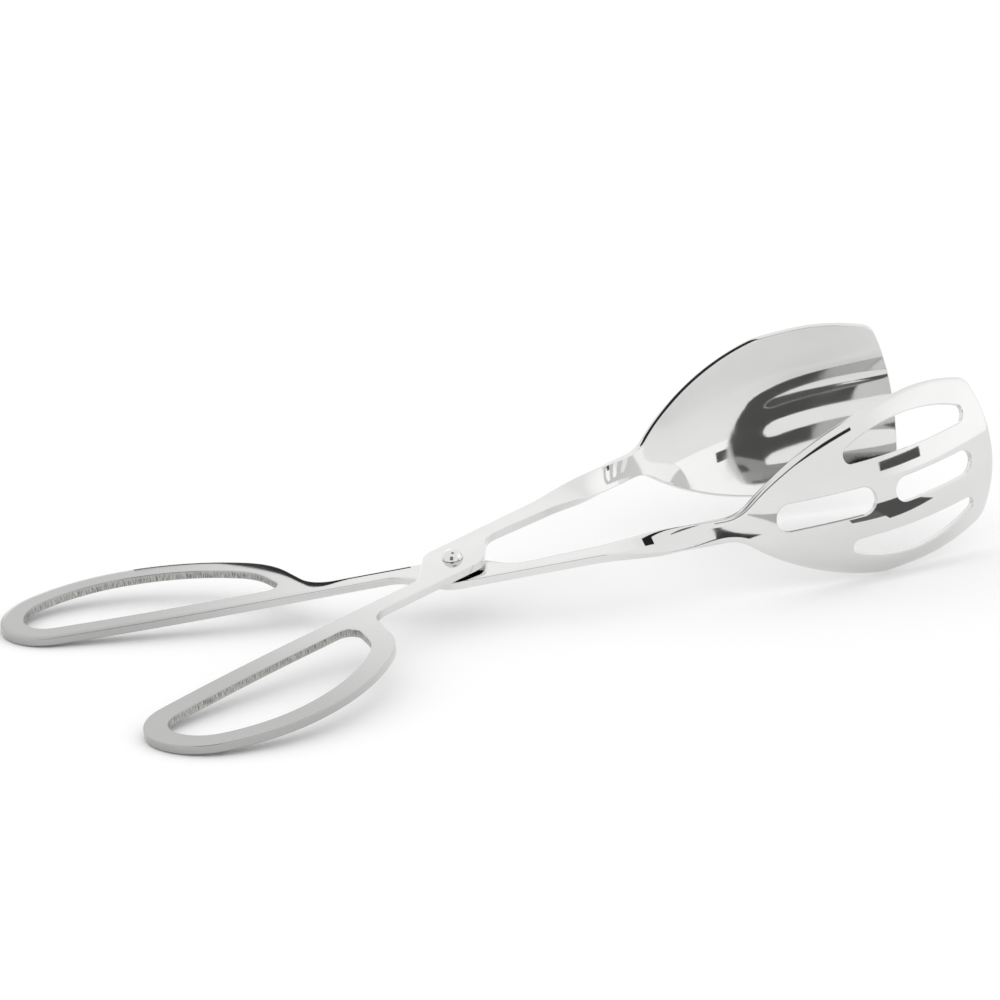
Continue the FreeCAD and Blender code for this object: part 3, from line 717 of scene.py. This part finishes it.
class Steel:
    """Node material for metal, with helpers that place textures on the sheet chart, in millimetres."""

    def __init__(self, name, colour, roughness):
        self.material = bpy.data.materials.new(name)
        self.material.use_nodes = True
        self.nodes = self.material.node_tree.nodes
        self.links = self.material.node_tree.links
        self.shader = next(node for node in self.nodes if node.type == "BSDF_PRINCIPLED")
        self.shader.inputs["Metallic"].default_value = 1.0
        self.shader.inputs["Base Color"].default_value = (*colour, 1.0)
        self.shader.inputs["Roughness"].default_value = roughness

    def chart(self):
        node = self.nodes.new("ShaderNodeUVMap")
        node.uv_map = "sheet"
        return node.outputs["UV"]

    def solid(self):
        return self.nodes.new("ShaderNodeTexCoord").outputs["Object"]

    def coordinates(self, place):
        """Separate coordinates: X along the blank or round a punched wall, Y across it or up the wall."""
        node = self.nodes.new("ShaderNodeSeparateXYZ")
        self.links.new(place, node.inputs["Vector"])
        return node.outputs

    def noise(self, place, stretch, detail, turned=0.0):
        """Noise with this many cells per unit of each coordinate, turned by an angle in degrees."""
        mapping = self.nodes.new("ShaderNodeMapping")
        mapping.inputs["Scale"].default_value = stretch
        mapping.inputs["Rotation"].default_value = (0.0, 0.0, math.radians(turned))
        self.links.new(place, mapping.inputs["Vector"])
        node = self.nodes.new("ShaderNodeTexNoise")
        node.inputs["Scale"].default_value = 1.0
        node.inputs["Detail"].default_value = detail
        self.links.new(mapping.outputs["Vector"], node.inputs["Vector"])
        return node.outputs["Fac"]

    def remap(self, value, from_low, from_high, to_low, to_high):
        """Smooth step from one range of values to another."""
        node = self.nodes.new("ShaderNodeMapRange")
        node.interpolation_type = "SMOOTHSTEP"
        self.links.new(value, node.inputs["Value"])
        for name, limit in (("From Min", from_low), ("From Max", from_high), ("To Min", to_low),
                            ("To Max", to_high)):
            node.inputs[name].default_value = limit
        return node.outputs["Result"]

    def combine(self, operation, first, second):
        node = self.nodes.new("ShaderNodeMath")
        node.operation = operation
        self.links.new(first, node.inputs[0])
        self.links.new(second, node.inputs[1])
        return node.outputs["Value"]

    def blend(self, share, first, second):
        """Mix of two colours; the first may be another mix."""
        node = self.nodes.new("ShaderNodeMix")
        node.data_type = "RGBA"
        colours = [socket for socket in node.inputs if socket.type == "RGBA"]
        if isinstance(first, tuple):
            colours[0].default_value = (*first, 1.0)
        else:
            self.links.new(first, colours[0])
        colours[1].default_value = (*second, 1.0)
        self.links.new(share, node.inputs[0])
        return next(socket for socket in node.outputs if socket.type == "RGBA")

    def bump(self, heights):
        """Bumps added one on another; each is a height, its depth in millimetres and its strength."""
        previous = None
        for height, depth, strength in heights:
            node = self.nodes.new("ShaderNodeBump")
            node.inputs["Distance"].default_value = depth * MM
            node.inputs["Strength"].default_value = strength
            self.links.new(height, node.inputs["Height"])
            if previous is not None:
                self.links.new(previous, node.inputs["Normal"])
            previous = node.outputs["Normal"]
        self.links.new(previous, self.shader.inputs["Normal"])

    def use(self, socket, value):
        self.links.new(value, self.shader.inputs[socket])


def polished_steel():
    """Mirror polish on the blades, turning to a fine satin on the finger loops."""
    steel = Steel("polished_steel", STEEL_COLOUR, 0.05)
    chart = steel.chart()
    satin = steel.remap(steel.coordinates(chart)["X"], SATIN_START, SATIN_END, 1.0, 0.0)
    haze = steel.remap(steel.noise(chart, (0.05, 0.12, 1.0), 3.0), 0.35, 0.7, 0.03, 0.065)
    hairlines = steel.remap(steel.noise(chart, (0.12, 9.0, 1.0), 2.0, 4.0), 0.6, 0.78, 0.0, 0.05)
    grain = steel.remap(steel.noise(chart, (0.5, 11.0, 1.0), 3.0), 0.3, 0.7, 0.15, 0.21)
    mirror = steel.combine("ADD", haze, hairlines)
    steel.use("Roughness", steel.combine("ADD", mirror, steel.combine("MULTIPLY", satin, grain)))
    clouding = steel.remap(steel.noise(chart, (0.03, 0.06, 1.0), 2.0), 0.3, 0.7, 0.0, 1.0)
    polished = steel.blend(clouding, STEEL_COLOUR, STEEL_CLOUDED)
    steel.use("Base Color", steel.blend(satin, polished, SATIN_COLOUR))
    ripple = steel.noise(chart, (0.07, 0.1, 1.0), 1.0)
    brushing = steel.combine("MULTIPLY", satin, steel.noise(chart, (0.25, 7.0, 1.0), 2.0))
    steel.bump([(ripple, 0.02, 0.5), (brushing, 0.003, 0.3)])
    return steel.material


def punched_steel():
    """Cut wall of a finger hole: torn upright lines, with a smoother burnished band under the top edge."""
    steel = Steel("punched_steel", PUNCHED_COLOUR, 0.42)
    chart = steel.chart()
    tears = steel.noise(chart, (4.5, 0.35, 1.0), 4.0, 3.0)
    patches = steel.noise(chart, (0.25, 0.5, 1.0), 3.0)
    band = steel.remap(steel.coordinates(chart)["Y"], BURNISHED_LOW, BURNISHED_HIGH, 1.0, 0.6)
    torn = steel.combine("MULTIPLY", steel.remap(tears, 0.4, 0.66, 0.0, 1.0), band)
    patchy = steel.remap(patches, 0.3, 0.7, 0.26, 0.36)
    steel.use("Roughness", steel.combine("ADD", patchy, steel.remap(torn, 0.0, 1.0, 0.0, 0.2)))
    steel.use("Base Color", steel.blend(torn, PUNCHED_COLOUR, PUNCHED_DARK))
    steel.bump([(tears, 0.12, 0.7), (patches, 0.05, 0.5)])
    return steel.material


def rivet_steel():
    """Spun and polished rivet, with faint pressing marks."""
    steel = Steel("rivet_steel", STEEL_COLOUR, 0.08)
    place = steel.solid()
    marks = steel.noise(place, (900.0, 900.0, 900.0), 2.0)
    steel.use("Roughness", steel.remap(marks, 0.3, 0.7, 0.1, 0.18))
    steel.use("Base Color", steel.blend(marks, STEEL_COLOUR, STEEL_CLOUDED))
    steel.bump([(steel.noise(place, (400.0, 400.0, 400.0), 1.0), 0.03, 0.4)])
    return steel.material


def washer_steel():
    """Plain sheet washer, dull and slightly rough."""
    steel = Steel("washer_steel", PUNCHED_COLOUR, 0.35)
    place = steel.solid()
    rolled = steel.noise(place, (300.0, 4000.0, 300.0), 3.0)
    steel.use("Roughness", steel.remap(rolled, 0.3, 0.7, 0.28, 0.45))
    steel.use("Base Color", steel.blend(rolled, PUNCHED_COLOUR, PUNCHED_DARK))
    steel.bump([(rolled, 0.01, 0.5)])
    return steel.material


# ---------------------------------------------------------------- stage

def plain_surface(name, brightness, glowing):
    """Even matt surface, or an even glow that stands for a lit panel or a dark part of the room."""
    material = bpy.data.materials.new(name)
    material.use_nodes = True
    shader = next(node for node in material.node_tree.nodes if node.type == "BSDF_PRINCIPLED")
    shader.inputs["Roughness"].default_value = 1.0
    shader.inputs["Specular IOR Level"].default_value = 0.0
    if glowing:
        shader.inputs["Base Color"].default_value = (0.0, 0.0, 0.0, 1.0)
        shader.inputs["Emission Color"].default_value = (1.0, 1.0, 1.0, 1.0)
        shader.inputs["Emission Strength"].default_value = brightness
    else:
        shader.inputs["Base Color"].default_value = (brightness, brightness, brightness, 1.0)
    return material


def stage_sheet(name, low, high, material):
    """Flat or curved sheet between two lines of points."""
    count = len(low)
    mesh = bpy.data.meshes.new(name)
    quads = [(index, index + 1, count + index + 1, count + index) for index in range(count - 1)]
    mesh.from_pydata([tuple(point) for point in [*low, *high]], [], quads)
    mesh.materials.append(material)
    sheet = link(name, mesh)
    return sheet


def make_floor():
    """Pale table, a hair below the tongs."""
    half = FLOOR_SIZE / 2
    level = cad_box[0].z - FLOOR_GAP
    near = [(-half, -half, level), (half, -half, level)]
    far = [(-half, half, level), (half, half, level)]
    stage_sheet("floor", near, far, plain_surface("pale_floor", FLOOR_ALBEDO, False))


def sky_direction(azimuth, elevation):
    """Unit vector for two angles in degrees."""
    flat = math.cos(math.radians(elevation))
    around = math.radians(azimuth)
    return Vector((flat * math.cos(around), flat * math.sin(around), math.sin(math.radians(elevation))))


def make_card(name, low, high, brightness):
    """Glowing sheet that only mirror-like reflections see, dim or bright against the room."""
    card = stage_sheet(name, low, high, plain_surface(name, brightness, True))
    card.visible_camera = False
    card.visible_diffuse = False
    card.visible_shadow = False


def make_cards():
    """Cards round the room that face the tongs, and cards just above the table that paint dark reflections of
    it into the steel.
    """
    middle = (cad_box[0] + cad_box[1]) / 2
    for name, place, size, brightness in ROOM_CARDS:
        towards = sky_direction(*place)
        right = towards.cross(Vector((0, 0, 1))).normalized()
        up = right.cross(towards)
        wide, high = (CARD_DISTANCE * math.tan(math.radians(angle) / 2) for angle in size)
        centre = middle + CARD_DISTANCE * towards
        rows = [[centre + x * wide * right + y * high * up for x in (-1, 1)] for y in (-1, 1)]
        make_card(name, rows[0], rows[1], brightness)
    level = cad_box[0].z - FLOOR_GAP / 2
    for name, near, far, brightness in TABLE_CARDS:
        rows = [[(x * MM, y * MM, level) for x, y in edge] for edge in (near, far)]
        make_card(name, rows[0], rows[1], brightness)


def shoulder_strip():
    """Strip that stands along the lower lever's outer edge, highest beside the finger loop's shoulder; it
    paints a dark reflection along that edge.
    """
    place = hinge_frame() @ lever_place(False)
    outline = blank_loops(False)[0][1]
    inward = inward_normals(outline)
    start, end = SHOULDER_STRIP
    beside = (outline[:, 1] < -HANDLE_ARM_OUTER + ROUNDING) & (outline[:, 0] > start) & (outline[:, 0] < end)
    foot = outline[beside] - SHOULDER_STRIP_GAP * inward[beside]
    middle, reach, rise = SHOULDER_STRIP_PEAK
    peak = smooth_step(reach - np.abs(foot[:, 0] - middle), 0.0, reach)
    tops = SHOULDER_STRIP_HEIGHT + rise * peak
    low = [place @ (Vector((x, y, -STOCK / 2)) * MM) for x, y in foot]
    high = [place @ (Vector((x, y, -STOCK / 2 - top)) * MM) for (x, y), top in zip(foot, tops)]
    return low, high


def rim_line(upper, side, span, gap, depth):
    """Line that follows one rim of a blade, at a gap outside it and a depth through the sheet."""
    place = hinge_frame() @ lever_place(upper)
    stations = np.arange(*span, STRAIGHT_STEP)
    across = np.array([side * (half_width(station) + gap) for station in stations])
    blank = np.column_stack([stations + PLATE_END + NECK_POSITION, ARM_CENTRE + across])
    depth = half_thickness(blank[:, 0]) if depth is None else depth
    return [place @ (Vector(point) * MM) for point in bend(blank, depth)]


def make_strips():
    """Dark strips close to the levers, which paint dark reflections along a shoulder and along each blade's
    upper rim.
    """
    make_card("strip_shoulder", *shoulder_strip(), DARK_REFLECTION_BRIGHTNESS)
    away = NEAR_RIM_DISTANCE * MM * sky_direction(*NEAR_RIM_WAY)
    near = [[point + away for point in rim_line(False, -1, NEAR_RIM_STRIP, -inset, None)]
            for inset in NEAR_RIM_INSETS]
    make_card("strip_rim", *near, DARK_REFLECTION_BRIGHTNESS)
    far = [rim_line(True, 1, FAR_RIM_STRIP, FAR_RIM_GAP, depth) for depth in FAR_RIM_DEPTHS]
    make_card("strip_far_rim", *far, DARK_REFLECTION_BRIGHTNESS)


def make_camera():
    """Long-lens camera above and to the left of the finger loops, turned to look at the tongs."""
    camera = bpy.data.objects.new("camera", bpy.data.cameras.new("camera"))
    bpy.context.scene.collection.objects.link(camera)
    camera.data.sensor_width = SENSOR_WIDTH
    camera.data.lens = LENS
    right = Vector(CAMERA_RIGHT)
    back = right.cross(Vector(CAMERA_UP)).normalized()
    up = back.cross(right).normalized()
    turned = Matrix((right.normalized(), up, back)).transposed().to_4x4()
    camera.matrix_world = Matrix.Translation(CAMERA_PLACE) @ turned
    bpy.context.scene.camera = camera


def soft_glow(nodes, links, place, direction_angles, full, gone, strength):
    """Brightness that falls off smoothly with the angle from a direction."""
    facing = nodes.new("ShaderNodeVectorMath")
    facing.operation = "DOT_PRODUCT"
    facing.inputs[1].default_value = sky_direction(*direction_angles)
    links.new(place, facing.inputs[0])
    glow = nodes.new("ShaderNodeMapRange")
    glow.interpolation_type = "SMOOTHSTEP"
    links.new(facing.outputs["Value"], glow.inputs["Value"])
    glow.inputs["From Min"].default_value = math.cos(math.radians(gone))
    glow.inputs["From Max"].default_value = math.cos(math.radians(full))
    glow.inputs["To Max"].default_value = strength
    return glow.outputs["Result"]


def make_light():
    """Even white room with soft glows, as a light tent gives."""
    world = bpy.data.worlds.new("studio")
    bpy.context.scene.world = world
    world.use_nodes = True
    nodes, links = world.node_tree.nodes, world.node_tree.links
    place = nodes.new("ShaderNodeTexCoord").outputs["Generated"]
    total = None
    for area in SOFT_AREAS:
        added = nodes.new("ShaderNodeMath")
        links.new(soft_glow(nodes, links, place, *area), added.inputs[0])
        added.inputs[1].default_value = ROOM_BRIGHTNESS
        if total is not None:
            links.new(total, added.inputs[1])
        total = added.outputs["Value"]
    background = nodes["Background"]
    background.inputs["Color"].default_value = (1.0, 1.0, 1.0, 1.0)
    links.new(total, background.inputs["Strength"])
    bpy.context.scene.view_settings.view_transform = "Standard"


make_camera()
make_light()
make_floor()
make_cards()
make_strips()

sheet_face = polished_steel()
sheet_wall = punched_steel()
for name, slotted, node in (("upper_lever", False, "upper_lever_solid_blade"),
                            ("lower_lever", True, "lower_lever_slotted_blade")):
    sheet = SheetMesh(blank_loops(slotted))
    lever = sheet.build(name, hinge_frame() @ lever_place(not slotted),
                        {"face": sheet_face, "punched": sheet_wall})
    settle(lever, name, node)
rivet = lathe("rivet", rivet_profile(), rivet_steel())
settle(rivet, "lower_lever", "pivot_rivet")
washer = lathe("washer", washer_profile(), washer_steel())
settle(washer, "lower_lever", "spacer_washer")
